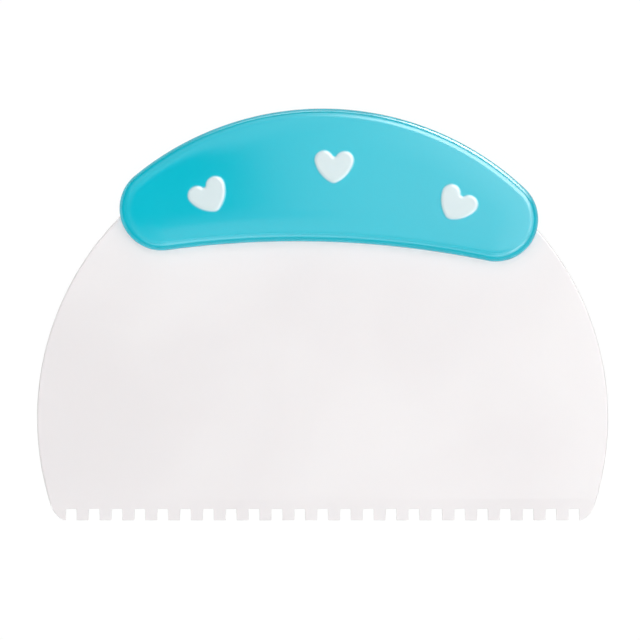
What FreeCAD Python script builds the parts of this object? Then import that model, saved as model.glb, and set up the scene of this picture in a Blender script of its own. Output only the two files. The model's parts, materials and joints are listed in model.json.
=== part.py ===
import FreeCAD, Part
import math
import os
from FreeCAD import Placement, Rotation, Vector

# Cake comb: a white moulded blade with square teeth, and a turquoise grip moulded over its top.
# It is drawn flat, with its mid plane at z = 0 and the centre of the round edge at the origin,
# and the last step lays it on the table as it comes to rest. Millimetres and degrees.

# Blade sheet
blade_radius = 75.0
tip_drop = 26.9
blade_thickness = 2.0
rim_chamfer = 0.5

# Rounded ends of the toothed edge
corner_reach = 2.0
corner_rise = 4.0
corner_bulge = 0.5

# Toothed edge
tooth_pitch = 6.0
gap_width = 2.8
gap_depth = 3.0
bevel_height = 5.5
edge_thickness = 1.0

# Grip outline
grip_length = 110.0
grip_height = 35.0
end_radius = 11.1
end_droop = 3.7
grip_overhang = 6.2
grip_shift = 1.4
grip_turn = 1.9

# Grip section: flat faces with a round shoulder
grip_thickness = 8.0
shoulder_radius = 2.5

# Hearts
heart_step = 30.5
heart_arc_radius = 65.5
heart_top_margin = 13.6
heart_shift = 0.9
heart_rise = 0.3
lobe_radius = 2.75
lobe_offset = 2.7
notch_radius = 0.4
tip_radius = 2.2
tip_distance = 6.3
side_radius = 8.5

# Hidden top of the sheet: a step on each face seats the edge of the grip
seat_step = 0.2

# Room for cutting tools to pass the surfaces that they cut
passing = 1.0

# How far apart the surface may lie from the points that find the rest tilt
surface_step = 0.02

Z_AXIS = Vector(0, 0, 1)
ORIGIN = Vector(0, 0, 0)


def spot(x, y, z=0.0):
    return Vector(x, y, z)


def unit(vector):
    return Vector(vector).normalize()


def mirrored(vector):
    return Vector(-vector.x, vector.y, vector.z)


def line(start, end):
    return Part.LineSegment(start, end).toShape()


def arc(start, middle, end):
    return Part.Arc(start, middle, end).toShape()


def round_arc(centre, radius, start, end):
    # The shorter arc between two points of a circle.
    middle = centre + unit((start - centre) + (end - centre)) * radius
    return arc(start, middle, end)


def polygon(corners):
    return [line(a, b) for a, b in zip(corners, corners[1:] + corners[:1])]


def face_of(edges):
    return Part.Face(Part.Wire(edges))


def pillar(edges, height):
    # A prism on both sides of the mid plane.
    return face_of(edges).translated(spot(0, 0, -height / 2)).extrude(Z_AXIS * height)


def grip_placement():
    # The grip is drawn from the middle of its lower edge.
    seat = spot(grip_shift, blade_radius + grip_overhang - grip_height)
    return Placement(seat, Rotation(Z_AXIS, -grip_turn))


def end_centre():
    return spot(grip_length / 2 - end_radius, end_radius - end_droop)


def upper_arc_radius():
    # The circle through the middle of the upper edge that holds both end circles inside.
    reach = end_centre()
    rise = grip_height - reach.y
    return (reach.x**2 + rise**2 - end_radius**2) / (2 * (rise - end_radius))


def lower_arc_radius():
    # The circle through the middle of the lower edge that both end circles touch from outside.
    reach = end_centre()
    return (reach.x**2 + reach.y**2 - end_radius**2) / (2 * end_droop)


def grip_arcs():
    # The four arcs of the outline, each as its centre, its start, a point on it and its end.
    right = end_centre()
    upper_radius = upper_arc_radius()
    lower_radius = lower_arc_radius()
    upper_centre = spot(0, grip_height - upper_radius)
    lower_centre = spot(0, -lower_radius)
    high = upper_centre + unit(right - upper_centre) * upper_radius
    low = lower_centre + unit(right - lower_centre) * lower_radius
    far = right + unit((high - right) + (low - right)) * end_radius
    return [
        (upper_centre, mirrored(high), spot(0, grip_height), high),
        (right, high, far, low),
        (lower_centre, low, ORIGIN, mirrored(low)),
        (mirrored(right), mirrored(low), mirrored(far), mirrored(high)),
    ]


def grip_outline():
    return [arc(start, middle, end) for centre, start, middle, end in grip_arcs()]


def outward_at(start, end):
    # Which way is out of the grip where an arc starts, as the arcs run clockwise round it.
    forward = unit(end - start)
    return spot(-forward.y, forward.x)


def border_section(start, outward):
    # The shoulders of both faces and the wall between them, cut square to the outline where an arc starts.
    half = grip_thickness / 2
    wall = half - shoulder_radius
    ease = shoulder_radius * (1 - math.sqrt(0.5))
    rise = [(0, wall), (ease, half - ease), (shoulder_radius, half)]
    front = [start - outward * depth + Z_AXIS * height for depth, height in rise]
    back = [start - outward * depth - Z_AXIS * height for depth, height in rise]
    return [
        line(back[0], front[0]),
        arc(front[0], front[1], front[2]),
        line(front[2], back[2]),
        arc(back[2], back[1], back[0]),
    ]


def swept_angle(centre, start, end):
    # Signed, in degrees, the short way round.
    first = start - centre
    last = end - centre
    return math.degrees(math.atan2(first.x * last.y - first.y * last.x, first.dot(last)))


def grip_body():
    # A border turned about the centre of each arc of the outline, and a flat middle between them.
    pieces = []
    inner = []
    for centre, start, middle, end in grip_arcs():
        side = 1 if (middle - centre).dot(outward_at(start, end)) > 0 else -1
        outward = unit(start - centre) * side
        section = face_of(border_section(start, outward))
        pieces.append(section.revolve(centre, Z_AXIS, swept_angle(centre, start, end)))
        points = [point - unit(point - centre) * side * shoulder_radius for point in (start, middle, end)]
        inner.append(arc(*points))
    return pillar(inner, grip_thickness).fuse(pieces).removeSplitter()


def circle_meeting(first, first_reach, second, second_reach):
    # Where two circles cross, on the left of the way from the first centre to the second.
    way = second - first
    apart = way.Length
    along = (apart**2 + first_reach**2 - second_reach**2) / (2 * apart)
    aside = math.sqrt(first_reach**2 - along**2)
    forward = unit(way)
    return first + forward * along + spot(-forward.y, forward.x) * aside


def heart_outline():
    # Two lobes, a rounded notch, bulging sides and a blunt tip, drawn from between the lobes.
    lobe = spot(lobe_offset, 0)
    tip = spot(0, tip_radius - tip_distance)
    notch = spot(0, math.sqrt((lobe_radius + notch_radius) ** 2 - lobe_offset**2))
    side = circle_meeting(tip, side_radius - tip_radius, lobe, side_radius - lobe_radius)
    notch_end = lobe + unit(notch - lobe) * lobe_radius
    side_start = lobe + unit(lobe - side) * lobe_radius
    side_end = tip + unit(tip - side) * tip_radius
    over = lobe + unit(spot(1, 1)) * lobe_radius
    right = [arc(notch_end, over, side_start), round_arc(side, side_radius, side_start, side_end)]
    left = [
        round_arc(mirrored(side), side_radius, mirrored(side_end), mirrored(side_start)),
        arc(mirrored(side_start), mirrored(over), mirrored(notch_end)),
    ]
    tip_end = tip - spot(0, tip_radius)
    notch_low = notch - spot(0, notch_radius)
    tip_arc = arc(side_end, tip_end, mirrored(side_end))
    notch_arc = arc(mirrored(notch_end), notch_low, notch_end)
    return right + [tip_arc] + left + [notch_arc]


def heart_row_centre():
    return spot(heart_shift, grip_height - heart_top_margin - heart_arc_radius)


def heart_bosses():
    # Three hearts on an arc, each turned with it, standing a little proud of both faces of the grip.
    boss = pillar(heart_outline(), grip_thickness + 2 * heart_rise)
    row_centre = heart_row_centre()
    bosses = []
    for place in (-1, 0, 1):
        heart = boss.translated(row_centre + spot(0, heart_arc_radius))
        heart.rotate(row_centre, Z_AXIS, -place * heart_step)
        bosses.append(heart)
    return bosses


def round_sheet():
    # The sheet with its chamfered rim, turned about the centre of the round edge.
    half = blade_thickness / 2
    flat = blade_radius - rim_chamfer
    side = half - rim_chamfer
    corners = [(0, -half), (flat, -half), (blade_radius, -side), (blade_radius, side), (flat, half), (0, half)]
    section = polygon([spot(x, 0, z) for x, z in corners])
    return face_of(section).revolve(ORIGIN, Z_AXIS, 360)


def below_tips():
    # All of the round sheet that lies lower than the tooth tips.
    width = 2 * (blade_radius + passing)
    height = blade_radius - tip_drop + passing
    thick = blade_thickness + 2 * passing
    corner = spot(-width / 2, -tip_drop - height, -thick / 2)
    return Part.makeBox(width, height, thick, corner)


def bevel_cutter(side):
    # A wedge that thins the sheet evenly from the bevel line to the tips, on one face.
    slope = (blade_thickness - edge_thickness) / 2 / bevel_height
    start = bevel_height - tip_drop
    end = -tip_drop - passing
    top = blade_thickness / 2
    low = top - slope * (bevel_height + passing)
    corners = [(start, top), (end, low), (end, top + passing), (start, top + passing)]
    left = -blade_radius - passing
    wedge = face_of(polygon([spot(left, y, side * z) for y, z in corners]))
    return wedge.extrude(spot(2 * (blade_radius + passing), 0, 0))


def half_edge():
    # Half the length of the straight toothed edge.
    return math.sqrt(blade_radius**2 - tip_drop**2)


def corner_cutter(side):
    # What lies outside the arc that rounds one end of the toothed edge.
    height = corner_rise - tip_drop
    low = spot(side * (half_edge() - corner_reach), -tip_drop)
    high = spot(side * math.sqrt(blade_radius**2 - height**2), height)
    along = unit(high - low)
    outward = spot(side * along.y, -side * along.x)
    middle = (low + high) / 2 + outward * corner_bulge
    outer = side * (blade_radius + passing)
    below = -tip_drop - passing
    corners = [high, spot(outer, height), spot(outer, below), spot(low.x, below), low]
    edges = [line(a, b) for a, b in zip(corners, corners[1:])]
    return pillar(edges + [arc(low, middle, high)], blade_thickness + 2 * passing)


def gap_cutters():
    # A gap lies on the middle of the edge, and as many on each side as leave a whole end tooth.
    each_side = int((half_edge() - corner_reach - gap_width / 2) / tooth_pitch)
    thick = blade_thickness + 2 * passing
    corner = spot(-gap_width / 2, -tip_drop - passing, -thick / 2)
    cutter = Part.makeBox(gap_width, gap_depth + passing, thick, corner)
    places = range(-each_side, each_side + 1)
    return [cutter.translated(spot(place * tooth_pitch, 0)) for place in places]


def seat_cutters():
    # The step that the grip sits in, on each face.
    outline = face_of(grip_outline())
    deep = seat_step + passing
    front = outline.translated(spot(0, 0, blade_thickness / 2 - seat_step)).extrude(Z_AXIS * deep)
    return [front, front.mirror(ORIGIN, Z_AXIS)]


def placed(shapes, placement):
    moved = []
    for shape in shapes:
        copy = shape.copy()
        copy.Placement = placement.multiply(copy.Placement)
        moved.append(copy)
    return moved


def make_blade():
    cutters = [below_tips(), bevel_cutter(1), bevel_cutter(-1), corner_cutter(1), corner_cutter(-1)]
    cutters += gap_cutters() + placed(seat_cutters(), grip_placement())
    sheet = round_sheet().cut(cutters)
    return sheet.fuse(placed(heart_bosses(), grip_placement()))


def make_grip(blade):
    return placed([grip_body()], grip_placement())[0].cut(blade)


def rest_tilt(shapes):
    # The steepest line from the lower corner of the tooth tips to any point of the comb's back.
    points = [point for shape in shapes for point in shape.tessellate(surface_step)[0]]
    drops = [(-edge_thickness / 2 - point.z, point.y + tip_drop) for point in points if point.y > 0]
    return math.degrees(max(math.atan2(drop, reach) for drop, reach in drops))


def lay_on_table(shapes):
    # Turned to the rest tilt, then set with the middle of the comb's box on the origin.
    tilt = rest_tilt(shapes)
    for shape in shapes:
        shape.rotate(ORIGIN, Vector(1, 0, 0), tilt)
    box = FreeCAD.BoundBox()
    for shape in shapes:
        box.add(shape.optimalBoundingBox(False))
    for shape in shapes:
        shape.translate(spot(-box.Center.x, -box.Center.y, -box.ZMin))
    return tilt


def main():
    blade = make_blade()
    grip = make_grip(blade)
    tilt = lay_on_table([blade, grip])
    os.makedirs("parts", exist_ok=True)
    for name, shape in (("blade", blade), ("grip", grip)):
        print(name, "solids", len(shape.Solids), "valid", shape.isValid(), "volume", round(shape.Volume, 1))
        shape.exportStep("parts/" + name + ".step")
    print("rest tilt", round(tilt, 3))


main()
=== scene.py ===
import json
import logging
import math
from dataclasses import dataclass, field
from enum import Enum

import bmesh
import bpy
import numpy as np
from mathutils import Matrix


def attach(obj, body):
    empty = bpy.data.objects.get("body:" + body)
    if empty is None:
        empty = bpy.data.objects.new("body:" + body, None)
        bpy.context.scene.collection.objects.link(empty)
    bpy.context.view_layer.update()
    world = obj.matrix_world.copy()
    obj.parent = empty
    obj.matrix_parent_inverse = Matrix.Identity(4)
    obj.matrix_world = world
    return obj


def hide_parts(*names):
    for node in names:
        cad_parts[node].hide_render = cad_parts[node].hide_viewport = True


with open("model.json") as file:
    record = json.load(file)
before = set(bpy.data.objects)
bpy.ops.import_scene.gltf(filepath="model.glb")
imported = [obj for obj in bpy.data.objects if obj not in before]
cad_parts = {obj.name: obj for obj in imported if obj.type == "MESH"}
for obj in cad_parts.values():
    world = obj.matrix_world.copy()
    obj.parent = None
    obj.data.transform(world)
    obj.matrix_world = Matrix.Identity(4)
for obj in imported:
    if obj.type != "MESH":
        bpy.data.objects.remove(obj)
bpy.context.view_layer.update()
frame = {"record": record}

LOG = logging.getLogger("cake_comb")
Array = np.ndarray
Rgb = tuple[float, float, float]

# A millimetre in the frame's metres.
MM = 0.001
# Closer than this, in millimetres, two points of an outline are one.
SAME_POINT = 1e-5
# Closer than this, in millimetres, two corners of a mesh are welded.
WELDED = 1e-4
# Two flats that turn by less than this, in radians, are one.
SAME_FLAT = 0.01
# How strongly large faces lead the shading of their corners, of 100.
FACE_LEAD = 60
# The darkest that gloss sees the room.
DARKEST = 0.05
# A Mix node's sockets share names among its data types, so their places tell them apart.
COLOUR_A, COLOUR_B, COLOUR_OUT = 6, 7, 2
FLOAT_A, FLOAT_B, FLOAT_OUT = 2, 3, 0


class Side(Enum):
    """Which broad face of the comb a surface belongs to."""

    FRONT = 1
    BACK = -1


class Cut(Enum):
    """How one closed shape changes another."""

    JOIN = "UNION"
    TAKE = "DIFFERENCE"


# Outlines


@dataclass(frozen=True)
class Arc:
    """Part of a circle in the comb's plane, in millimetres and radians."""

    centre: tuple[float, float]
    radius: float
    start: float
    stop: float
    hollow: bool = False

    def sample(self, step: float) -> tuple[Array, Array]:
        """Samples centre + radius * (cos a, sin a), with both ends.

        Args:
            step: the longest spacing of the points.

        Returns:
            The points, and the directions that lead out of the plastic: along
            the radius, or against it where the arc is hollow.
        """
        count = max(2, int(math.ceil(abs(self.stop - self.start) * self.radius / step)) + 1)
        angle = np.linspace(self.start, self.stop, count)
        ray = np.column_stack((np.cos(angle), np.sin(angle)))
        return np.array(self.centre) + ray * self.radius, -ray if self.hollow else ray


def mirrored(parts: list[tuple[Array, Array]]) -> list[tuple[Array, Array]]:
    """Returns samples flipped left to right, in the order that carries their line on."""
    flip = np.array((-1.0, 1.0))
    return [(points[::-1] * flip, normals[::-1] * flip) for points, normals in parts[::-1]]


def bearing(start: Array, end: Array) -> float:
    """Returns the angle of the way from one point to another."""
    way = np.asarray(end, float) - np.asarray(start, float)
    return math.atan2(way[1], way[0])


@dataclass
class Outline:
    """A closed line round a shape, anticlockwise, with the directions out of it."""

    points: Array
    normals: Array

    @classmethod
    def joined(cls, parts: list[tuple[Array, Array]]) -> "Outline":
        """Joins samples end to end and drops each point that repeats the one before.

        Args:
            parts: pairs of points and outward directions.

        Returns:
            The outline.
        """
        points = np.vstack([part[0] for part in parts])
        normals = np.vstack([part[1] for part in parts])
        apart = np.linalg.norm(points - np.roll(points, 1, axis=0), axis=1)
        return cls(points[apart > SAME_POINT], normals[apart > SAME_POINT])

    def moved(self, turn: float, shift: tuple[float, float]) -> "Outline":
        """Returns the outline turned anticlockwise about the origin, then shifted."""
        spin = np.array([[math.cos(turn), math.sin(turn)], [-math.sin(turn), math.cos(turn)]])
        return Outline(self.points @ spin + np.array(shift), self.normals @ spin)

    def row(self, depth: Array | float, height: Array | float) -> Array:
        """Carries one point of a section round the outline.

        Each point is outline point - outward direction * depth, at the height.

        Args:
            depth: how far inside the outline the row runs.
            height: how high above the mid plane it runs.

        Returns:
            The row's points in three dimensions.
        """
        depth = np.broadcast_to(depth, len(self.points))
        flat = self.points - self.normals * depth[:, None]
        return np.column_stack((flat, np.broadcast_to(height, len(flat))))


# Meshes


@dataclass
class Shell:
    """A closed surface: rows of points one above another, and a cap on the first and last."""

    rows: list[Array]
    caps: list[list[int]] = field(default_factory=list)

    def mesh(self, name: str) -> bpy.types.Mesh:
        """Builds the mesh, a quad between each two points and the two above them.

        Args:
            name: the mesh's name.

        Returns:
            The mesh, with its faces outwards.
        """
        count = len(self.rows[0])
        here = np.arange(count)
        ahead = np.roll(here, -1)
        rise = count * np.arange(len(self.rows) - 1)[:, None]
        low, high = (here + rise, ahead + rise), (ahead + rise + count, here + rise + count)
        quads = np.stack(low + high, axis=-1)
        top = count * (len(self.rows) - 1)
        spans = self.caps or [list(range(count))]
        faces = quads.reshape(-1, 4).tolist()
        faces += [[top + index for index in span] for span in spans]
        faces += [span[::-1] for span in spans]
        mesh = bpy.data.meshes.new(name)
        mesh.from_pydata(np.vstack(self.rows).tolist(), [], faces)
        return mesh


def put(mesh: bpy.types.Mesh) -> bpy.types.Object:
    """Adds an object to the scene.

    Args:
        mesh: what it shows, and whose name it takes.

    Returns:
        The object.
    """
    piece = bpy.data.objects.new(mesh.name, mesh)
    bpy.context.scene.collection.objects.link(piece)
    return piece


def combined(base: bpy.types.Object, tool: bpy.types.Object, cut: Cut) -> None:
    """Changes a closed shape by another one, exactly.

    Args:
        base: the piece that is changed.
        tool: the shape that changes it.
        cut: whether the tool's space is joined to the piece or taken from it.
    """
    change = base.modifiers.new("change", "BOOLEAN")
    change.operation = cut.value
    change.solver = "EXACT"
    change.object = tool
    bpy.context.view_layer.update()
    graph = bpy.context.evaluated_depsgraph_get()
    result = bpy.data.meshes.new_from_object(base.evaluated_get(graph))
    base.modifiers.remove(change)
    base.data = result


def removed(tool: bpy.types.Object) -> None:
    """Takes a helper shape out of the file."""
    bpy.data.objects.remove(tool, do_unlink=True)


def shade_softly(piece: bpy.types.Object, sharp_angle: float, flat_area: float) -> None:
    """Smooths the roundings and keeps the flats flat.

    An edge is sharp where its faces turn by more than the angle, or where both
    are large flats that turn at all, as at the line where the bevel starts.

    Args:
        piece: the piece.
        sharp_angle: in degrees.
        flat_area: how large a flat is, in the mesh's own units.
    """
    work = bmesh.new()
    work.from_mesh(piece.data)
    bmesh.ops.remove_doubles(work, verts=work.verts, dist=WELDED)
    for face in work.faces:
        face.smooth = True
    for edge in work.edges:
        if len(edge.link_faces) == 2:
            turn = edge.calc_face_angle(0.0)
            flats = min(face.calc_area() for face in edge.link_faces) > flat_area
            edge.smooth = not (turn > math.radians(sharp_angle) or (flats and turn > SAME_FLAT))
    work.to_mesh(piece.data)
    work.free()
    weigh = piece.modifiers.new("even_shade", "WEIGHTED_NORMAL")
    weigh.mode = "FACE_AREA"
    weigh.weight = FACE_LEAD
    weigh.keep_sharp = True


@dataclass(frozen=True)
class CombPlane:
    """The tilted plane that the comb is drawn in, with its axes in the frame's metres."""

    origin: Array
    right: Array
    up: Array
    out: Array

    @classmethod
    def from_record(cls, record: dict, tooth_pitch: float, tip_drop: float) -> "CombPlane":
        """Reads the plane from the record's mount on the first tooth right of the middle.

        Args:
            record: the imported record.
            tooth_pitch: in millimetres.
            tip_drop: how far the tips lie below the round edge's centre.

        Returns:
            The plane, with its origin at the round edge's centre.
        """
        tips = next(mount for mount in record["mounts"] if mount["name"] == "tooth_tips")
        up = -np.array(tips["axis"], float)
        up /= np.linalg.norm(up)
        right = np.array((1.0, 0.0, 0.0))
        origin = np.array(tips["pos_m"]) - right * tooth_pitch / 2 * MM + up * tip_drop * MM
        return cls(origin, right, up, np.cross(right, up))

    def place(self, points: Array) -> Array:
        """Returns points of the drawing, in millimetres, as metres in the frame."""
        return self.origin + MM * (points @ np.array((self.right, self.up, self.out)))

    def settle(self, piece: bpy.types.Object) -> None:
        """Moves a mesh from the drawing to its place, and leaves its object at the origin.

        Args:
            piece: the object whose mesh is moved.
        """
        points = np.empty(len(piece.data.vertices) * 3)
        piece.data.vertices.foreach_get("co", points)
        piece.data.vertices.foreach_set("co", self.place(points.reshape(-1, 3)).ravel())
        piece.data.update()


# Sub-assemblies


@dataclass
class GripForm:
    """The crescent grip, drawn from the middle of its lower edge, in millimetres."""

    length: float = 110.0
    height: float = 35.0
    end_radius: float = 11.1
    end_droop: float = 3.7
    thickness: float = 8.0
    shoulder: float = 2.5
    crown: float = 0.35
    crown_width: float = 10.0
    seat: tuple[float, float] = (1.4, 46.2)
    turn: float = math.radians(-1.9)
    step: float = 0.45
    shoulder_points: int = 13
    crown_points: int = 9
    seat_reach: float = 1.0

    def outline(self) -> Outline:
        """Chains the four arcs of the crescent.

        The end circles lie inside the upper circle and touch the lower one from
        outside, so that each arc leads into the next without a corner.

        Returns:
            The outline, where the grip sits on the blade.
        """
        reach = np.array((self.length / 2 - self.end_radius, self.end_radius - self.end_droop))
        rise = self.height - reach[1]
        upper = (reach[0] ** 2 + rise**2 - self.end_radius**2) / (2 * (rise - self.end_radius))
        lower = (reach @ reach - self.end_radius**2) / (2 * self.end_droop)
        upper_centre = (0.0, self.height - upper)
        lower_centre = (0.0, -lower)
        high = bearing(upper_centre, reach)
        low = bearing(lower_centre, reach)
        left = (-reach[0], reach[1])
        fine = self.step / 2
        return Outline.joined([
            Arc(tuple(reach), self.end_radius, low - math.pi, high).sample(fine),
            Arc(upper_centre, upper, high, math.pi - high).sample(self.step),
            Arc(left, self.end_radius, math.pi - high, 2 * math.pi - low).sample(fine),
            Arc(lower_centre, lower, math.pi - low, low, hollow=True).sample(self.step),
        ]).moved(self.turn, self.seat)

    def section(self) -> tuple[Array, Array]:
        """Works out half the section, from the wall's top to the flat middle.

        The height is the shoulder's quarter circle and then level, less
        crown * (1 - depth / crown width) squared, so that the face falls
        ever more towards its edge.

        Returns:
            The depths inside the outline, and the heights over the mid plane.
        """
        angle = np.linspace(0, math.pi / 2, self.shoulder_points)
        run = np.linspace(self.shoulder, self.crown_width, self.crown_points)[1:]
        depth = np.concatenate((self.shoulder * (1 - np.cos(angle)), run))
        wall = self.thickness / 2 - self.shoulder
        level = np.full(len(run), self.thickness / 2)
        height = np.concatenate((wall + self.shoulder * np.sin(angle), level))
        return depth, height - self.crown * (1 - depth / self.crown_width) ** 2

    def shell(self) -> Shell:
        """Carries the section round the outline, on both faces.

        Returns:
            The whole crescent.
        """
        outline = self.outline()
        depth, height = self.section()
        front = [outline.row(d, h) for d, h in zip(depth, height)]
        back = [outline.row(d, -h) for d, h in zip(depth, height)]
        return Shell(back[::-1] + front)

    def seat_tool(self, blade_half: float, seat_step: float) -> Shell:
        """Builds the room over one face of the blade that the grip's edge is seated in.

        Args:
            blade_half: half the blade's thickness.
            seat_step: how deep the seat is.

        Returns:
            The closed shell.
        """
        outline = self.outline()
        heights = (blade_half - seat_step, blade_half + self.seat_reach)
        return Shell([outline.row(0, height) for height in heights])


@dataclass
class HeartRow:
    """Three heart bosses on an arc, which stand a little proud of both faces of the grip."""

    spacing: float = math.radians(30.5)
    arc_radius: float = 65.5
    top_margin: float = 13.6
    shift: float = 0.9
    rise: float = 0.3
    lobe_radius: float = 2.75
    lobe_offset: float = 2.7
    notch_radius: float = 0.4
    tip_radius: float = 2.2
    tip_distance: float = 6.3
    side_radius: float = 8.5
    edge_width: float = 1.1
    edge_height: float = 0.28
    edge_points: int = 9
    step: float = 0.15
    bleed_foot: float = 0.03
    bleed_share: float = 0.6

    def outline(self) -> Outline:
        """Chains the heart's arcs: tip, side, lobe, hollow notch, lobe and side.

        Returns:
            One heart, drawn from between its lobes.
        """
        lobe = np.array((self.lobe_offset, 0.0))
        tip = np.array((0.0, self.tip_radius - self.tip_distance))
        gap = self.lobe_radius + self.notch_radius
        notch = np.array((0.0, math.sqrt(gap**2 - self.lobe_offset**2)))
        way = lobe - tip
        apart = math.hypot(*way)
        near = self.side_radius - self.tip_radius
        along = (apart**2 + near**2 - (self.side_radius - self.lobe_radius) ** 2) / (2 * apart)
        aside = math.sqrt(near**2 - along**2)
        side = tip + (way * along + np.array((-way[1], way[0])) * aside) / apart
        bottom, foot = bearing(side, tip), bearing(side, lobe)
        crest, dip = bearing(lobe, notch), bearing(notch, lobe)
        hollow = Arc(tuple(notch), self.notch_radius, dip, -math.pi / 2, hollow=True)
        half = [
            Arc(tuple(tip), self.tip_radius, -math.pi / 2, bottom).sample(self.step),
            Arc(tuple(side), self.side_radius, bottom, foot).sample(self.step),
            Arc(tuple(lobe), self.lobe_radius, foot, crest).sample(self.step),
            hollow.sample(self.step / 2),
        ]
        return Outline.joined(half + mirrored(half))

    def shells(self, grip: GripForm) -> list[Shell]:
        """Builds the three bosses.

        Each section is a wall, and at both its ends the height rises by half a
        cosine wave over the edge width. The row of hearts runs on an arc whose
        centre lies below the grip.

        Args:
            grip: the grip that the hearts stand in.

        Returns:
            One closed shell for each heart.
        """
        share = np.linspace(0, 1, self.edge_points)
        top = grip.thickness / 2 + self.rise
        depth = self.edge_width * share
        height = top - self.edge_height * (1 + np.cos(math.pi * share)) / 2
        heart = self.outline()
        centre = (self.shift, grip.height - self.top_margin - self.arc_radius)
        shells = []
        for place in (-1, 0, 1):
            standing = heart.moved(0, (0, self.arc_radius)).moved(-place * self.spacing, centre)
            seated = standing.moved(grip.turn, grip.seat)
            front = [seated.row(d, h) for d, h in zip(depth, height)]
            back = [seated.row(d, -h) for d, h in zip(depth, height)]
            shells.append(Shell(back[::-1] + front))
        return shells


@dataclass
class BladeForm:
    """The half-moon sheet with its bevel and its square teeth, in millimetres."""

    radius: float = 75.0
    tip_drop: float = 26.9
    thickness: float = 2.0
    rim_radius: float = 0.55
    tooth_rim: float = 0.14
    corner_reach: float = 2.0
    corner_rise: float = 4.0
    corner_bulge: float = 0.5
    pitch: float = 6.0
    gap_width: float = 2.8
    gap_depth: float = 3.0
    gap_flare: float = 0.02
    root_radius: float = 0.3
    tip_radius: float = 0.18
    bevel_height: float = 5.5
    edge_thickness: float = 1.0
    seat_step: float = 0.2
    step: float = 0.5
    corner_step: float = 0.3
    root_step: float = 0.1
    tip_step: float = 0.07
    rim_points: int = 5
    rim_full: float = 0.3

    @property
    def bevel_line(self) -> float:
        """How high the bevel starts."""
        return self.bevel_height - self.tip_drop

    def gap(self) -> tuple[Array, Array]:
        """Works out one gap from the tooth on its left to the tooth on its right.

        The flanks lean so that the gap opens towards the tips, and an arc
        leads from each line into the next.

        Returns:
            Points and outward directions, from the middle of the gap's mouth.
        """
        mouth = self.gap_width / 2 + self.gap_flare
        lean = math.atan2(2 * self.gap_flare, self.gap_depth)
        ease = (1 - math.sin(lean)) / math.cos(lean)
        tip = (-mouth - self.tip_radius * ease, self.tip_radius)
        aside = self.gap_flare - self.gap_width / 2 + self.root_radius * ease
        root = (aside, self.gap_depth - self.root_radius)
        corner = Arc(root, self.root_radius, math.pi - lean, math.pi / 2, hollow=True)
        half = [
            Arc(tip, self.tip_radius, -math.pi / 2, -lean).sample(self.tip_step),
            corner.sample(self.root_step),
        ]
        parts = half + mirrored(half)
        return np.vstack([part[0] for part in parts]), np.vstack([part[1] for part in parts])

    def outline(self) -> tuple[Outline, int]:
        """Chains the round edge above the bevel line, and then the toothed edge below it.

        Returns:
            The outline, and how many of its points belong to the round edge.
        """
        half = math.sqrt(self.radius**2 - self.tip_drop**2)
        start = math.asin(self.bevel_line / (self.radius - self.rim_radius))
        low = np.array((half - self.corner_reach, -self.tip_drop))
        height = self.corner_rise - self.tip_drop
        high = np.array((math.sqrt(self.radius**2 - height**2), height))
        chord = math.dist(low, high)
        bend = chord**2 / (8 * self.corner_bulge) + self.corner_bulge / 2
        inward = np.array((low[1] - high[1], high[0] - low[0])) / chord
        pivot = (low + high) / 2 + inward * (bend - self.corner_bulge)
        base = math.asin(height / self.radius)
        corner = Arc(tuple(pivot), bend, bearing(pivot, low), bearing(pivot, high))
        right = [
            corner.sample(self.corner_step),
            Arc((0.0, 0.0), self.radius, base, start).sample(self.corner_step),
        ]
        each_side = int((half - self.corner_reach - self.gap_width / 2) / self.pitch)
        points, normals = self.gap()
        places = np.arange(-each_side, each_side + 1) * self.pitch
        shifts = np.stack((places, np.full(len(places), -self.tip_drop)), axis=1)
        row = (points[None] + shifts[:, None]).reshape(-1, 2), np.tile(normals, (len(places), 1))
        round_edge = Arc((0.0, 0.0), self.radius, start, math.pi - start).sample(self.step)
        outline = Outline.joined([round_edge] + mirrored(right) + [row] + right)
        return outline, len(round_edge[0])

    def half_thickness(self, y: Array) -> Array:
        """Returns half the thickness, which falls evenly from the bevel line to the tips."""
        share = np.clip((self.bevel_line - y) / self.bevel_height, 0, 1)
        return (self.thickness - (self.thickness - self.edge_thickness) * share) / 2

    def shell(self) -> Shell:
        """Builds the sheet: its edge is rounded all round, more so on the round edge.

        The rounding is a quarter circle whose radius grows smoothly from the
        teeth to the bevel line, below the surface height at its inner end.

        Returns:
            The closed shell, with one flat cap above the bevel line and one below it.
        """
        outline, round_count = self.outline()
        y = outline.points[:, 1]
        run = self.bevel_height - self.gap_depth - self.rim_full
        share = np.clip((y + self.tip_drop - self.gap_depth) / run, 0, 1)
        rim = self.tooth_rim + (self.rim_radius - self.tooth_rim) * share**2 * (3 - 2 * share)
        surface = self.half_thickness(y - outline.normals[:, 1] * rim)
        front = [
            outline.row(rim * (1 - math.cos(angle)), surface - rim * (1 - math.sin(angle)))
            for angle in np.linspace(0, math.pi / 2, self.rim_points)
        ]
        back = [row * np.array((1, 1, -1)) for row in front]
        total = len(outline.points)
        upper = list(range(round_count))
        lower = list(range(round_count - 1, total)) + [0]
        return Shell(back[::-1] + front, [upper, lower])


# Finishes


def linear(colour: Rgb) -> Rgb:
    """Returns a display colour, each channel from 0 to 1, as the scene-linear one."""
    return tuple(c / 12.92 if c <= 0.04045 else ((c + 0.055) / 1.055) ** 2.4 for c in colour)


def node(tree: bpy.types.NodeTree, kind: str, **values: object) -> bpy.types.Node:
    """Adds a shader node and sets its options and the inputs that are named.

    Args:
        tree: where the node goes.
        kind: the node's type.
        values: options, and input values by socket name with _ for a space.

    Returns:
        The node.
    """
    made = tree.nodes.new(kind)
    for name, value in values.items():
        socket = made.inputs.get(name.replace("_", " "))
        if socket is not None:
            socket.default_value = value
        else:
            setattr(made, name, value)
    return made


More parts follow.
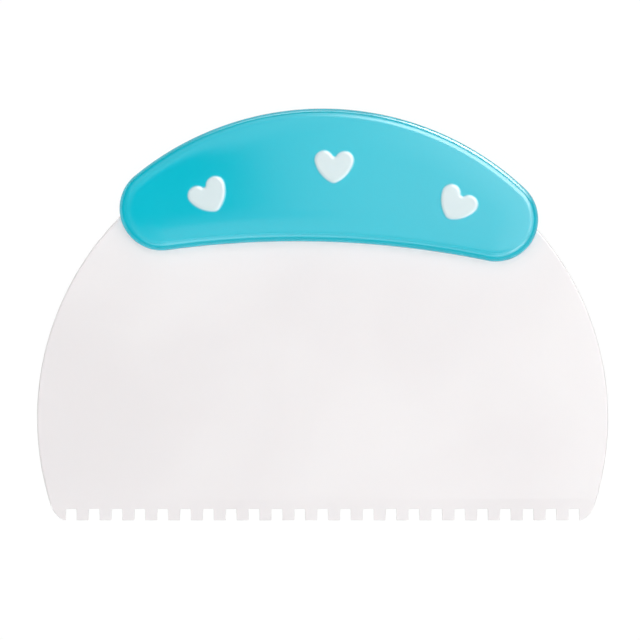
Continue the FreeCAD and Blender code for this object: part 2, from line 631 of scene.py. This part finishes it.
def new_group(
    name: str, inputs: dict[str, tuple[str, object]], outputs: list[str]
) -> bpy.types.NodeTree:
    """Starts a shader node group.

    Args:
        name: the group's name.
        inputs: the socket type and default of each input.
        outputs: the outputs, which are all values.

    Returns:
        The group, with its input and output nodes.
    """
    group = bpy.data.node_groups.new(name, "ShaderNodeTree")
    for label, (kind, value) in inputs.items():
        socket = group.interface.new_socket(label, in_out="INPUT", socket_type=kind)
        if value is not None:
            socket.default_value = value
    for label in outputs:
        group.interface.new_socket(label, in_out="OUTPUT", socket_type="NodeSocketFloat")
    group.nodes.new("NodeGroupInput")
    group.nodes.new("NodeGroupOutput")
    return group


def flow_group() -> bpy.types.NodeTree:
    """Builds the soft clouds that molten plastic leaves in a moulding.

    Returns:
        A group that puts out a mask, from 0 to 1.
    """
    inputs = {"Vector": ("NodeSocketVector", None), "Scale": ("NodeSocketFloat", 25.0)}
    group = new_group("moulding_flow", inputs, ["Mask"])
    source, sink = group.nodes["Group Input"], group.nodes["Group Output"]
    noise = node(group, "ShaderNodeTexNoise", Detail=2.0, Roughness=0.45, Distortion=0.6)
    level = node(group, "ShaderNodeMapRange", From_Min=0.32, From_Max=0.68)
    level.interpolation_type = "SMOOTHSTEP"
    group.links.new(source.outputs["Vector"], noise.inputs["Vector"])
    group.links.new(source.outputs["Scale"], noise.inputs["Scale"])
    group.links.new(noise.outputs["Fac"], level.inputs["Value"])
    group.links.new(level.outputs["Result"], sink.inputs["Mask"])
    return group


def skin_group() -> bpy.types.NodeTree:
    """Builds the fine skin of moulded plastic: shallow pitting, and hairline scuffs from use.

    Returns:
        A group that puts out a height, and a mask of where the scuffs are.
    """
    inputs = {
        "Vector": ("NodeSocketVector", None),
        "Grain Scale": ("NodeSocketFloat", 900.0),
        "Scuff Amount": ("NodeSocketFloat", 0.3),
    }
    group = new_group("moulded_skin", inputs, ["Height", "Scuff"])
    source, sink = group.nodes["Group Input"], group.nodes["Group Output"]
    grain = node(group, "ShaderNodeTexNoise", Detail=3.0, Roughness=0.6)
    stretch = node(group, "ShaderNodeMapping", Scale=(1.0, 14.0, 1.0), Rotation=(0.0, 0.0, 0.5))
    hairs = node(group, "ShaderNodeTexNoise", Scale=160.0, Detail=4.0, Roughness=0.7)
    hairs.inputs["Distortion"].default_value = 0.25
    fine = node(group, "ShaderNodeMapRange", From_Min=0.60, From_Max=0.74)
    amount = node(group, "ShaderNodeMath", operation="MULTIPLY")
    relief = node(group, "ShaderNodeMath", operation="SUBTRACT")
    link = group.links.new
    link(source.outputs["Vector"], grain.inputs["Vector"])
    link(source.outputs["Grain Scale"], grain.inputs["Scale"])
    link(source.outputs["Vector"], stretch.inputs["Vector"])
    link(stretch.outputs["Vector"], hairs.inputs["Vector"])
    link(hairs.outputs["Fac"], fine.inputs["Value"])
    link(fine.outputs["Result"], amount.inputs[0])
    link(source.outputs["Scuff Amount"], amount.inputs[1])
    link(grain.outputs["Fac"], relief.inputs[0])
    link(amount.outputs["Value"], relief.inputs[1])
    link(relief.outputs["Value"], sink.inputs["Height"])
    link(amount.outputs["Value"], sink.inputs["Scuff"])
    return group


def rise_group() -> bpy.types.NodeTree:
    """Builds a mask that grows from one height over the comb's mid plane to another.

    The height is the absolute value of position . out - level, so both faces are alike.

    Returns:
        A group that puts out a mask, from 0 to 1.
    """
    inputs = {
        "Vector": ("NodeSocketVector", None),
        "Out": ("NodeSocketVector", None),
        "Level": ("NodeSocketFloat", 0.0),
        "Low": ("NodeSocketFloat", 0.003),
        "High": ("NodeSocketFloat", 0.004),
    }
    group = new_group("rise_over_mid_plane", inputs, ["Mask"])
    source, sink = group.nodes["Group Input"], group.nodes["Group Output"]
    along = node(group, "ShaderNodeVectorMath", operation="DOT_PRODUCT")
    over = node(group, "ShaderNodeMath", operation="SUBTRACT")
    size = node(group, "ShaderNodeMath", operation="ABSOLUTE")
    level = node(group, "ShaderNodeMapRange")
    link = group.links.new
    link(source.outputs["Vector"], along.inputs[0])
    link(source.outputs["Out"], along.inputs[1])
    link(along.outputs["Value"], over.inputs[0])
    link(source.outputs["Level"], over.inputs[1])
    link(over.outputs[0], size.inputs[0])
    link(size.outputs[0], level.inputs["Value"])
    link(source.outputs["Low"], level.inputs["From Min"])
    link(source.outputs["High"], level.inputs["From Max"])
    link(level.outputs["Result"], sink.inputs["Mask"])
    return group


@dataclass(frozen=True)
class Bleed:
    """Where a neighbour's colour shows through, by the height over the mid plane in millimetres.

    The tone runs from the low height's to the high height's. It is laid over the
    base from the onset, whose two numbers say how far below the low height it
    starts and is full.
    """

    plane: CombPlane
    low: float
    high: float
    low_tone: Rgb
    high_tone: Rgb
    onset: tuple[float, float] = (0.4, 0.1)

    def over(
        self, tree: bpy.types.NodeTree, vector: bpy.types.NodeSocket, base: bpy.types.NodeSocket
    ) -> bpy.types.NodeSocket:
        """Lays the bleeding tones over a base colour.

        Args:
            tree: the material's nodes.
            vector: the Object coordinates.
            base: the colour elsewhere.

        Returns:
            The colour with the bleed in it.
        """
        rise = rise_group()
        starts, full = self.onset
        masks = []
        for low, high in ((self.low - starts, self.low - full), (self.low, self.high)):
            mask = node(tree, "ShaderNodeGroup", node_tree=rise)
            mask.inputs["Out"].default_value = self.plane.out
            mask.inputs["Level"].default_value = float(self.plane.origin @ self.plane.out)
            mask.inputs["Low"].default_value = low * MM
            mask.inputs["High"].default_value = high * MM
            tree.links.new(vector, mask.inputs["Vector"])
            masks.append(mask.outputs["Mask"])
        tones = node(tree, "ShaderNodeMix", data_type="RGBA")
        tones.inputs[COLOUR_A].default_value = (*linear(self.low_tone), 1.0)
        tones.inputs[COLOUR_B].default_value = (*linear(self.high_tone), 1.0)
        laid = node(tree, "ShaderNodeMix", data_type="RGBA")
        tree.links.new(masks[1], tones.inputs[0])
        tree.links.new(masks[0], laid.inputs[0])
        tree.links.new(base, laid.inputs[COLOUR_A])
        tree.links.new(tones.outputs[COLOUR_OUT], laid.inputs[COLOUR_B])
        return laid.outputs[COLOUR_OUT]


@dataclass(frozen=True)
class MouldedPlastic:
    """A plastic finish: two close tones in soft clouds, a fine skin and faint scuffs."""

    name: str
    slot: str
    tone: Rgb
    cloud_tone: Rgb
    cloud_scale: float
    roughness: float
    cloud_roughness: float
    scuff: float
    grain_scale: float
    bump: float
    subsurface: float
    subsurface_radius: Rgb
    grain_depth: float = 0.0001

    def material(
        self, flow: bpy.types.NodeTree, skin: bpy.types.NodeTree, bleed: Bleed | None = None
    ) -> bpy.types.Material:
        """Builds the finish on Object coordinates.

        Args:
            flow: the group of moulding clouds.
            skin: the group of grain and scuffs.
            bleed: where a neighbour's colour shows through, if it does.

        Returns:
            The material.
        """
        material = bpy.data.materials.new(self.name)
        material.use_nodes = True
        tree = material.node_tree
        shader = tree.nodes["Principled BSDF"]
        place = node(tree, "ShaderNodeTexCoord")
        clouds = node(tree, "ShaderNodeGroup", node_tree=flow)
        clouds.inputs["Scale"].default_value = self.cloud_scale
        cover = node(tree, "ShaderNodeGroup", node_tree=skin)
        cover.inputs["Grain Scale"].default_value = self.grain_scale
        cover.inputs["Scuff Amount"].default_value = self.scuff
        tone = node(tree, "ShaderNodeMix", data_type="RGBA")
        tone.inputs[COLOUR_A].default_value = (*linear(self.tone), 1.0)
        tone.inputs[COLOUR_B].default_value = (*linear(self.cloud_tone), 1.0)
        matt = node(tree, "ShaderNodeMapRange", To_Min=self.roughness)
        matt.inputs["To Max"].default_value = self.cloud_roughness
        rough = node(tree, "ShaderNodeMath", operation="ADD", use_clamp=True)
        bump = node(tree, "ShaderNodeBump", Strength=self.bump, Distance=self.grain_depth)
        link = tree.links.new
        link(place.outputs["Object"], clouds.inputs["Vector"])
        link(place.outputs["Object"], cover.inputs["Vector"])
        link(clouds.outputs["Mask"], tone.inputs[0])
        colour = tone.outputs[COLOUR_OUT]
        if bleed is not None:
            colour = bleed.over(tree, place.outputs["Object"], colour)
        link(colour, shader.inputs["Base Color"])
        link(clouds.outputs["Mask"], matt.inputs["Value"])
        link(matt.outputs["Result"], rough.inputs[0])
        link(cover.outputs["Scuff"], rough.inputs[1])
        link(rough.outputs["Value"], shader.inputs["Roughness"])
        link(cover.outputs["Height"], bump.inputs["Height"])
        link(bump.outputs["Normal"], shader.inputs["Normal"])
        shader.inputs["Subsurface Weight"].default_value = self.subsurface
        shader.inputs["Subsurface Radius"].default_value = self.subsurface_radius
        shader.inputs["Subsurface Scale"].default_value = MM
        return material


WHITE = MouldedPlastic(
    name="white_plastic",
    slot="white_plastic",
    tone=(0.944, 0.928, 0.932),
    cloud_tone=(0.955, 0.941, 0.944),
    cloud_scale=22.0,
    roughness=0.20,
    cloud_roughness=0.245,
    scuff=0.02,
    grain_scale=700.0,
    bump=0.06,
    subsurface=0.12,
    subsurface_radius=(1.0, 0.9, 0.85),
)
TURQUOISE = MouldedPlastic(
    name="turquoise_plastic",
    slot="turquoise_plastic",
    tone=(0.0, 0.776, 0.860),
    cloud_tone=(0.0, 0.788, 0.871),
    cloud_scale=16.0,
    roughness=0.05,
    cloud_roughness=0.07,
    scuff=0.03,
    grain_scale=500.0,
    bump=0.03,
    subsurface=0.0,
    subsurface_radius=(0.2, 0.8, 1.0),
)
HEART_SIDE: Rgb = (0.10, 0.76, 0.84)
HEART_TOP: Rgb = (0.858, 0.920, 0.930)


# Whole object


@dataclass
class CakeComb:
    """The comb: the white blade with its hearts, and the turquoise grip moulded over its top."""

    blade: BladeForm = field(default_factory=BladeForm)
    grip: GripForm = field(default_factory=GripForm)
    hearts: HeartRow = field(default_factory=HeartRow)

    def build(self, plane: CombPlane) -> dict[str, bpy.types.Object]:
        """Builds both pieces in the drawing and then sets them in their place.

        The blade is the sheet, less the seats of the grip's edge, with the
        hearts joined on. The grip is the crescent less the blade.

        Args:
            plane: the plane that the comb is drawn in.

        Returns:
            The pieces by the name of the node that they stand for.
        """
        blade = put(self.blade.shell().mesh("comb_blade"))
        seat_shell = self.grip.seat_tool(self.blade.thickness / 2, self.blade.seat_step)
        seat = put(seat_shell.mesh("seat"))
        for side in Side:
            seat.scale.z = side.value
            combined(blade, seat, Cut.TAKE)
        removed(seat)
        for shell in self.hearts.shells(self.grip):
            heart = put(shell.mesh("heart"))
            combined(blade, heart, Cut.JOIN)
            removed(heart)
        grip = put(self.grip.shell().mesh("comb_grip"))
        combined(grip, blade, Cut.TAKE)
        made = {"blade": blade, "grip": grip}
        for piece in made.values():
            shade_softly(piece, sharp_angle=33.0, flat_area=60.0)
            plane.settle(piece)
        return made

    def dress(self, made: dict[str, bpy.types.Object], plane: CombPlane) -> None:
        """Gives each piece its finish and its body, and hides the CAD part that it stands in for.

        The hearts are as white as the blade, but thin at their edges, where
        the turquoise round them shows through.

        Args:
            made: the pieces by node.
            plane: the plane that the comb is drawn in.
        """
        flow, skin = flow_group(), skin_group()
        face = self.grip.thickness / 2
        foot = face + self.hearts.bleed_foot
        top = face + self.hearts.bleed_share * self.hearts.rise
        hearts = Bleed(plane, foot, top, HEART_SIDE, HEART_TOP)
        for name, finish, bleed in (("blade", WHITE, hearts), ("grip", TURQUOISE, None)):
            piece = made[name]
            piece.data.materials.clear()
            piece.data.materials.append(finish.material(flow, skin, bleed))
            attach(piece, "root")
            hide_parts(name)
            LOG.info("%s: %d faces", piece.name, len(piece.data.polygons))


@dataclass(frozen=True)
class Softbox:
    """A rectangular lamp that looks at a point, in the frame's metres."""

    name: str
    place: tuple[float, float, float]
    aim: tuple[float, float, float]
    size: tuple[float, float]
    power: float
    in_gloss: bool = False

    def add(self) -> None:
        """Adds the lamp, turned so that it shines at its aim.

        It lights the surfaces and gloss mirrors the room instead of it, or it is
        a reflector that shows in gloss alone and fades towards its rim.
        """
        lamp = bpy.data.lights.new(self.name, "AREA")
        lamp.shape = "RECTANGLE"
        lamp.size, lamp.size_y = self.size
        lamp.energy = self.power
        if self.in_gloss:
            self.fade(lamp)
        thing = bpy.data.objects.new(self.name, lamp)
        thing.visible_camera = False
        thing.visible_glossy = self.in_gloss
        thing.visible_diffuse = not self.in_gloss
        bpy.context.scene.collection.objects.link(thing)
        back = np.array(self.place) - np.array(self.aim)
        thing.matrix_world = look(np.array(self.place), back, np.array((0.0, 1.0, 0.0)))

    def fade(self, lamp: bpy.types.AreaLight) -> None:
        """Makes the lamp brightest in its middle and dark at its rim.

        The distance from the middle is in parts of the lamp's own size.

        Args:
            lamp: the lamp.
        """
        middle, rim, core = (0.5, 0.5, 0.0), 0.5, 0.2
        lamp.use_nodes = True
        tree = lamp.node_tree
        tree.nodes.clear()
        spot = node(tree, "ShaderNodeNewGeometry").outputs["Parametric"]
        aside = node(tree, "ShaderNodeVectorMath", operation="DISTANCE")
        aside.inputs[1].default_value = middle
        share = node(tree, "ShaderNodeMapRange", From_Min=rim, From_Max=core, To_Max=1.0)
        share.interpolation_type = "SMOOTHSTEP"
        light = node(tree, "ShaderNodeEmission")
        end = node(tree, "ShaderNodeOutputLight")
        tree.links.new(spot, aside.inputs[0])
        tree.links.new(aside.outputs["Value"], share.inputs["Value"])
        tree.links.new(share.outputs["Result"], light.inputs["Strength"])
        tree.links.new(light.outputs[0], end.inputs["Surface"])


@dataclass(frozen=True)
class Glow:
    """A part of the room that is brighter or darker, the more so towards one direction.

    The direction is a bearing anticlockwise from the comb's right and a lean from
    the way out of its face, in degrees. The strength is reached in full where the
    cosine of the angle from that direction is high, and ends where it is low.
    """

    name: str
    bearing: float
    lean: float
    low: float
    high: float
    strength: float

    def way(self, plane: CombPlane) -> Array:
        """Works out the direction in the frame.

        Args:
            plane: the comb's plane.

        Returns:
            The direction, one long.
        """
        around, aside = math.radians(self.bearing), math.radians(self.lean)
        level = math.cos(around) * plane.right + math.sin(around) * plane.up
        return math.sin(aside) * level + math.cos(aside) * plane.out

    def added(
        self, tree: bpy.types.NodeTree, view: bpy.types.NodeSocket, plane: CombPlane
    ) -> bpy.types.NodeSocket:
        """Adds the nodes that work out the glow in the world's shader.

        Args:
            tree: the world's nodes.
            view: the direction that is looked in.
            plane: the comb's plane.

        Returns:
            The glow's strength in that direction.
        """
        along = node(tree, "ShaderNodeVectorMath", operation="DOT_PRODUCT")
        along.inputs[1].default_value = self.way(plane)
        grow = node(tree, "ShaderNodeMapRange", From_Min=self.low, From_Max=self.high)
        grow.inputs["To Max"].default_value = self.strength
        grow.interpolation_type = "SMOOTHSTEP"
        grow.label = self.name
        tree.links.new(view, along.inputs[0])
        tree.links.new(along.outputs["Value"], grow.inputs["Value"])
        return grow.outputs["Result"]


MIDDLE = (0.0, 0.03, 0.0)
LAMPS = (
    Softbox("over", (0.0, 0.03, 1.35), MIDDLE, (1.2, 1.0), 8.6),
    Softbox("top", (0.0, 0.95, 0.80), MIDDLE, (1.2, 0.3), 3.4),
    Softbox("front", (-0.1, -0.95, 0.70), MIDDLE, (1.2, 0.3), 4.3),
    Softbox("right", (0.95, 0.05, 0.60), MIDDLE, (0.3, 0.9), 3.6),
    Softbox("left", (-0.95, 0.05, 0.60), MIDDLE, (0.3, 0.9), 2.8),
    Softbox("sill", (0.061, 0.081, 0.009), (0.0, 0.022, 0.25), (0.11, 0.09), 0.50, True),
    Softbox("ledge", (-0.01, 0.116, 0.010), (-0.01, 0.036, 0.25), (0.15, 0.08), 0.16, True),
)
ROOM = (
    Glow("window side", 0, 90, -0.10, 0.12, 1.78),
    Glow("upper wall", 30, 90, -0.05, 0.40, 1.42),
    Glow("window", 50, 44, 0.875, 0.985, 8.00),
    Glow("right lamp", 0, 32, 0.961, 0.9945, 2.50),
    Glow("upper left wall", 108, 45, 0.72, 0.98, 0.75),
    Glow("table", -97, 35, 0.80, 0.98, 0.95),
    Glow("lower wall", -92, 75, 0.80, 0.98, 1.80),
    Glow("lower lamp", -50, 44, 0.955, 0.996, 4.00),
    Glow("doorway", -5, 85, 0.85, 0.98, -1.70),
    Glow("ceiling", -5, 12, 0.9636, 0.9877, 1.00),
    Glow("upper glow", 112, 9.2, 0.99619, 0.99966, 0.60),
    Glow("lower right shade", -70, 13.3, 0.99357, 0.99863, -1.70),
    Glow("near shade", 147, 2.4, 0.99951, 0.99988, -1.30),
    Glow("middle shade", 138, 3.9, 0.99919, 0.99985, -1.00),
    Glow("far shade", 137, 6.3, 0.99889, 0.99956, -1.20),
    Glow("low shade", -152, 1.9, 0.99939, 0.99990, -0.90),
    Glow("left shade", 168, 6, 0.9969, 0.99966, -0.50),
)


def look(place: Array, back: Array, up: Array) -> Matrix:
    """Works out where a camera or lamp stands from the way behind it and the way up.

    Args:
        place: where it stands.
        back: the way from what it looks at.
        up: roughly the top of its picture.

    Returns:
        The matrix.
    """
    back = back / np.linalg.norm(back)
    right = np.cross(up, back)
    right /= np.linalg.norm(right)
    top = np.cross(back, right)
    rows = np.column_stack((right, top, back, place))
    return Matrix(rows.tolist() + [[0, 0, 0, 1]])


@dataclass
class Studio:
    """The camera, the pale floor, the lamps and the surroundings."""

    distance: float = 1.2
    frame_width: float = 168.0
    centre: tuple[float, float] = (-0.68, 25.7)
    sensor: float = 36.0
    floor_white: float = 0.92
    floor_glow: float = 1.03
    floor_paint: float = 0.93
    floor_side: float = 3.0
    sight: float = 20.0
    surround: float = 0.42
    haze: tuple[float, float] = (0.20, 0.54)
    horizon: float = 0.12

    def camera(self, plane: CombPlane, height: float) -> None:
        """Sets the camera square on to the comb's plane, far off, for a nearly parallel view.

        Args:
            plane: the plane of the comb.
            height: the height over it that is in scale, in millimetres.
        """
        data = bpy.data.cameras.new("camera")
        data.sensor_width = self.sensor
        data.lens = self.sensor * self.distance / (self.frame_width * MM)
        data.clip_end = self.sight
        eye = bpy.data.objects.new("camera", data)
        bpy.context.scene.collection.objects.link(eye)
        target = plane.place(np.array((*self.centre, height)))
        eye.matrix_world = look(target + plane.out * self.distance, plane.out, plane.up)
        bpy.context.scene.camera = eye

    def bright_rays(
        self, tree: bpy.types.NodeTree, kinds: tuple[str, ...]
    ) -> bpy.types.NodeSocket:
        """Adds the nodes that tell which rays see a white background.

        Args:
            tree: the nodes of a material or of the world.
            kinds: the outputs of the Light Path node that see it.

        Returns:
            One for such a ray, nought for the others.
        """
        rays = node(tree, "ShaderNodeLightPath")
        total = rays.outputs[kinds[0]]
        for kind in kinds[1:]:
            either = node(tree, "ShaderNodeMath", operation="MAXIMUM")
            tree.links.new(total, either.inputs[0])
            tree.links.new(rays.outputs[kind], either.inputs[1])
            total = either.outputs[0]
        return total

    def floor(self) -> None:
        """Lays a floor that is mostly its own white to what sees it, so its shadow is faint."""
        side = self.floor_side
        mesh = bpy.data.meshes.new("floor")
        corners = [(-side, -side, 0), (side, -side, 0), (side, side, 0), (-side, side, 0)]
        mesh.from_pydata(corners, [], [(0, 1, 2, 3)])
        plate = put(mesh)
        material = bpy.data.materials.new("floor")
        material.use_nodes = True
        tree = material.node_tree
        tree.nodes.clear()
        rays = self.bright_rays(tree, ("Is Camera Ray", "Is Glossy Ray", "Is Transmission Ray"))
        white = node(tree, "ShaderNodeEmission", Color=(1, 1, 1, 1), Strength=self.floor_glow)
        paint = node(tree, "ShaderNodeBsdfDiffuse", Color=(*[self.floor_paint] * 3, 1))
        share = node(tree, "ShaderNodeMath", operation="MULTIPLY")
        share.inputs[1].default_value = self.floor_white
        mix = node(tree, "ShaderNodeMixShader")
        end = node(tree, "ShaderNodeOutputMaterial")
        link = tree.links.new
        link(rays, share.inputs[0])
        link(share.outputs[0], mix.inputs[0])
        link(paint.outputs[0], mix.inputs[1])
        link(white.outputs[0], mix.inputs[2])
        link(mix.outputs[0], end.inputs["Surface"])
        plate.data.materials.append(material)

    def world(self, plane: CombPlane) -> None:
        """Sets the room that gloss mirrors: even, with glows, and white where the camera sees it.

        The room is dimmer towards the horizon, so that a view from the side isn't
        washed out by what the faces mirror at a glance.

        Args:
            plane: the comb's plane.
        """
        world = bpy.data.worlds.new("room")
        bpy.context.scene.world = world
        world.cycles_visibility.diffuse = False
        world.use_nodes = True
        tree = world.node_tree
        tree.nodes.clear()
        view = node(tree, "ShaderNodeTexCoord").outputs["Generated"]
        link = tree.links.new
        total = None
        for glow in ROOM:
            together = node(tree, "ShaderNodeMath", operation="ADD")
            together.inputs[0].default_value = self.surround
            if total is not None:
                link(total, together.inputs[0])
            link(glow.added(tree, view, plane), together.inputs[1])
            total = together.outputs[0]
        dark = node(tree, "ShaderNodeMath", operation="MAXIMUM")
        link(total, dark.inputs[0])
        dark.inputs[1].default_value = DARKEST
        height = node(tree, "ShaderNodeVectorMath", operation="DOT_PRODUCT")
        height.inputs[1].default_value = plane.out
        low, high = self.haze
        dim = node(tree, "ShaderNodeMapRange", From_Min=low, From_Max=high, To_Min=self.horizon)
        dim.interpolation_type = "SMOOTHSTEP"
        level = node(tree, "ShaderNodeMath", operation="MULTIPLY")
        link(view, height.inputs[0])
        link(height.outputs["Value"], dim.inputs["Value"])
        link(dark.outputs[0], level.inputs[0])
        link(dim.outputs["Result"], level.inputs[1])
        rays = self.bright_rays(tree, ("Is Camera Ray", "Is Transmission Ray"))
        seen = node(tree, "ShaderNodeMix", data_type="FLOAT")
        seen.inputs[FLOAT_B].default_value = 1.0
        room = node(tree, "ShaderNodeBackground", Color=(1, 1, 1, 1))
        end = node(tree, "ShaderNodeOutputWorld")
        link(rays, seen.inputs[0])
        link(level.outputs[0], seen.inputs[FLOAT_A])
        link(seen.outputs[FLOAT_OUT], room.inputs["Strength"])
        link(room.outputs[0], end.inputs["Surface"])

    def lamps(self) -> None:
        """Hangs the softboxes, and leans two low reflectors towards the grip's upper edge."""
        for lamp in LAMPS:
            lamp.add()

    def build(self, plane: CombPlane, height: float) -> None:
        """Builds everything round the comb, with colours shown as they are.

        Args:
            plane: the comb's plane.
            height: the height over it that is in scale, in millimetres.
        """
        bpy.context.scene.view_settings.view_transform = "Standard"
        self.camera(plane, height)
        self.floor()
        self.world(plane)
        self.lamps()


def main() -> None:
    """Builds the comb and its studio."""
    logging.basicConfig(level=logging.INFO, format="%(message)s")
    comb = CakeComb()
    plane = CombPlane.from_record(frame["record"], comb.blade.pitch, comb.blade.tip_drop)
    comb.dress(comb.build(plane), plane)
    Studio().build(plane, comb.blade.thickness / 2)


if __name__ == "__main__":
    main()
